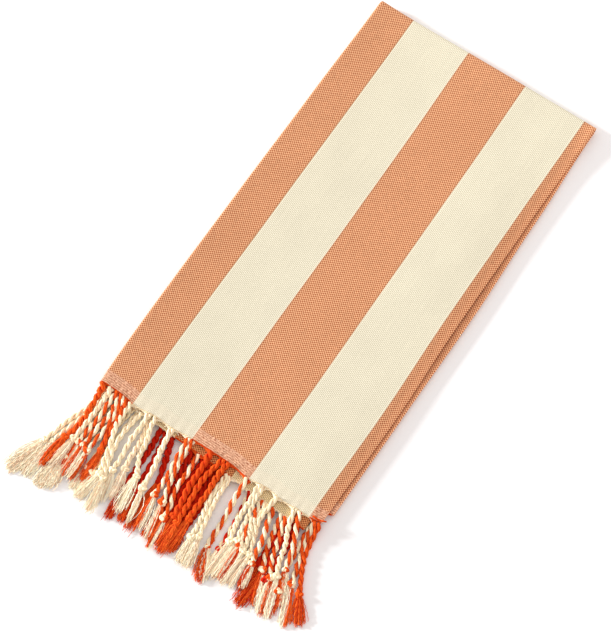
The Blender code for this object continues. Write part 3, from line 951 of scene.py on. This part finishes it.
def with_header(g, colour, orange, across, from_hem, uneven):
    """Adds the paler ribbed band of the outer half along its hem, fainter on cream."""
    header = g.step(from_hem, HEADER + HEADER_EDGE, HEADER - HEADER_EDGE)
    header = g.multiply(header, g.math("LESS_THAN", across, 0.0))
    header = g.multiply(header, g.ramp(orange, 0.5, 0.5))
    rib_wave = g.sine(g.add(from_hem, g.multiply(uneven, 1.5)), 2 * RIB_PITCH)
    streak = g.noise(1, 2, g.vector(g.divide(across, 2.4 * MM), g.divide(from_hem, 0.55 * MM)))
    fine = g.ramp(g.subtract(streak, 0.5), 3.0, 0.5)
    fine = g.ramp(rib_wave, 0.18, fine, clamp=True)
    banded = g.mix(orange, g.mix(fine, *HEADER_CREAM), g.mix(fine, *HEADER_ORANGE))
    return g.mix(header, colour, banded)


def with_wear(g, colour, orange, across, down):
    """Makes the colour uneven in patches, along single threads and in specks."""
    patches = g.ramp(g.noise(30, 4), 0.12, 0.94)
    streaks = g.noise(1, 2, g.vector(g.divide(across, WARP_PITCH), g.divide(down, 40 * MM)))
    patches = g.multiply(patches, g.ramp(streaks, 0.10, 0.95))
    specks = g.ramp(g.noise(520, 1), g.ramp(orange, 0.30, 0.12), 1.0)
    specks = g.subtract(specks, g.ramp(orange, 0.15, 0.06))
    return g.scaled(colour, g.multiply(patches, specks))


def with_edges(g, colour, rib, across, from_hem, down):
    """Paints light on the outer half's open edge, paler near it with a painted highlight at its
    very edge, and paints shade on the inner half by the upper hem.
    """
    # painted light: the open edge of the outer half is paler, with a painted highlight along its
    # very edge
    edge = g.ramp(g.step(across, *EDGE_LIGHT), 0.14, 1.0)
    colour = g.scaled(colour, g.ramp(g.step(across, *EDGE_HIGHLIGHT), 0.35, edge))
    # painted shade: the inner half is darker and tan where it shows below the outer hem, its weave
    # a little more marked
    hem_shade = g.multiply(g.math("GREATER_THAN", across, 0.0), g.math("GREATER_THAN", down, 0.0))
    hem_shade = g.multiply(hem_shade, g.step(from_hem, *HEM_SHADE_FADE))
    colour = g.mix(hem_shade, colour, HEM_SHADE_TINT, blend="MULTIPLY")
    ribbed = g.multiply(hem_shade, g.ramp(rib, -0.34, 0.14))
    return g.scaled(colour, g.add(ribbed, 1.0))


def cloth_look():
    """Plain weave: orange or cream warp in stripes, pale weft all through, and a ribbed header."""
    g = Graph("striped_weave")
    across, from_hem, down = g.attribute("flat")
    uneven = g.multiply(g.subtract(g.noise(60, 2), 0.5), 0.9 * MM)
    warp_wave = g.add(across, uneven)
    weft_wave = g.add(down, uneven)
    weave = g.multiply(g.sine(warp_wave, 2 * WARP_PITCH), g.sine(weft_wave, 2 * WEFT_PITCH))
    weave = g.multiply(weave, g.ramp(g.noise(140, 3), 1.5, 0.15))
    warp_up = g.ramp(weave, 1.1, 0.5, clamp=True)
    rib = g.ramp(g.sine(warp_wave, WARP_PITCH), 0.5, 0.5)
    rib = g.ramp(g.subtract(warp_up, 0.5), 0.6, rib, clamp=True)
    orange, colour = stripes(g, across, warp_up, rib)
    colour = with_header(g, colour, orange, across, from_hem, uneven)
    colour = with_wear(g, colour, orange, across, down)
    colour = with_edges(g, colour, rib, across, from_hem, down)
    g.bump(g.math("ABSOLUTE", weave), 0.35, 0.2 * MM)
    return g.surface(colour, 0.92, 0.06)


def yarn_look():
    """Cotton yarn, orange or cream by its tint, with painted shade in its grooves and where its
    tint attribute asks; thick yarn shows the turns of its strands.
    """
    g = Graph("twisted_yarn")
    around, along, seed = g.attribute("yarn")
    tint, thick, shade = g.attribute("tint")
    turns = g.add(g.multiply(around, 4), g.divide(along, 4.5))
    strands = g.multiply(g.math("SINE", g.multiply(turns, 2 * pi)), thick)
    cream = g.mix(thick, THREAD_CREAM, YARN_CREAM)
    orange = g.mix(thick, THREAD_ORANGE, YARN_ORANGE)
    colour = g.mix(tint, cream, orange)
    deep = g.mix(tint, DEEP_CREAM, DEEP_ORANGE)
    # painted shade: from the tint attribute, and in the grooves between strands of thick yarn
    groove_shade = g.multiply(g.step(strands, -0.2, -0.95), g.ramp(tint, 0.25, 0.3))
    depth = g.math("MAXIMUM", g.multiply(shade, g.ramp(tint, 0.4, 0.55)), groove_shade)
    # painted shade in random patches on orange yarn
    patchy_shade = g.multiply(g.step(g.noise(420, 2), 0.35, 0.7), g.multiply(tint, 0.4))
    colour = g.mix(g.math("MAXIMUM", depth, patchy_shade), colour, deep)
    # a little darker between strands, as painted shade, and lighter or darker at random by yarn and
    # in patches
    tone = g.multiply(g.ramp(strands, 0.1, 1.0), g.ramp(seed, 0.14, 0.93))
    tone = g.multiply(tone, g.ramp(g.noise(900, 2), 0.2, 0.9))
    colour = g.scaled(colour, tone)
    g.bump(strands, 0.5, 0.15 * MM)
    return g.surface(colour, 0.95, 0.0)


def floor_look():
    """Matt and nearly white."""
    g = Graph("pale_floor")
    colour = g.mix(g.noise(3), (0.945, 0.945, 0.945, 1.0), (0.955, 0.955, 0.955, 1.0))
    return g.surface(colour, 0.9, 0.0)


# ----------------------------------------------------------------------------- camera and lights

AZIMUTH = radians(33.67)
ELEVATION = radians(68.84)
DISTANCE = 2.191
TARGET = Vector((0.2 * MM, -72.2 * MM, 0))
LENS = 145.7
SENSOR_WIDTH = 36
CLIP_START = 0.05
CLIP_END = 50

KEY_STRENGTH = 4.7
KEY_HEADING = radians(14)  # the way the shadows point, from +X towards +Y
KEY_ELEVATION = radians(14)
KEY_ANGLE = radians(9)  # size of the source, as seen from the towel
KEY_COLOUR = (0.97, 1.02, 1.04)
FILL_PLACE = (0.1, 1.3, 1.1)
FILL_SIZE = 1.2
FILL_POWER = 6
SKY = 0.79
SKY_COLOUR = (1.02, 0.955, 0.935, 1.0)
FLOOR_HALF = 4.0


def add_object(name, data):
    """An object with this data, in the scene."""
    item = bpy.data.objects.new(name, data)
    bpy.context.scene.collection.objects.link(item)
    return item


def turn_along(item, way):
    """Turns a camera or light to face the way."""
    item.rotation_mode = "QUATERNION"
    item.rotation_quaternion = way.to_track_quat("-Z", "Y")


def add_camera():
    """The photo's angle."""
    data = bpy.data.cameras.new("camera")
    data.lens = LENS
    data.sensor_width = SENSOR_WIDTH
    data.clip_start = CLIP_START
    data.clip_end = CLIP_END
    level = Vector((sin(AZIMUTH), -cos(AZIMUTH), 0))
    back = level * cos(ELEVATION) + Vector((0, 0, sin(ELEVATION)))
    camera = add_object("camera", data)
    camera.location = TARGET + back * DISTANCE
    turn_along(camera, -back)
    bpy.context.scene.camera = camera


def add_key_light():
    """A large soft source, low at the left."""
    data = bpy.data.lights.new("key", "SUN")
    data.energy = KEY_STRENGTH
    data.angle = KEY_ANGLE
    data.color = KEY_COLOUR
    level = Vector((cos(KEY_HEADING), sin(KEY_HEADING), 0))
    down = Vector((0, 0, -sin(KEY_ELEVATION)))
    turn_along(add_object("key", data), level * cos(KEY_ELEVATION) + down)


def add_fill_light():
    """A broad weak source beyond the far end, so that end is a little brighter."""
    data = bpy.data.lights.new("fill", "AREA")
    data.shape = "DISK"
    data.size = FILL_SIZE
    data.energy = FILL_POWER
    light = add_object("fill", data)
    light.location = FILL_PLACE
    turn_along(light, -Vector(FILL_PLACE))


def add_floor():
    """A wide plain floor at z = 0."""
    half = FLOOR_HALF
    corners = [(-half, -half, 0), (half, -half, 0), (half, half, 0), (-half, half, 0)]
    data = bpy.data.meshes.new("floor")
    data.from_pydata(corners, [], [(0, 1, 2, 3)])
    data.materials.append(floor_look())
    floor = add_object("floor", data)


def add_world():
    """Even soft light from all round."""
    world = bpy.data.worlds.new("studio")
    world.use_nodes = True
    background = world.node_tree.nodes["Background"]
    background.inputs["Color"].default_value = SKY_COLOUR
    background.inputs["Strength"].default_value = SKY
    bpy.context.scene.world = world


def main():
    """The studio, the cloth and the two fringes."""
    bpy.context.scene.view_settings.view_transform = "Standard"
    add_camera()
    add_world()
    add_floor()
    add_key_light()
    add_fill_light()
    yarn = yarn_look()
    cloth = cloth_piece(cloth_look())
    pieces = fringe("upper", 2.0, UPPER_CORDS, yarn, "fringe_upper")
    pieces += fringe("lower", -2.0, LOWER_CORDS, yarn, "fringe_lower")


main()
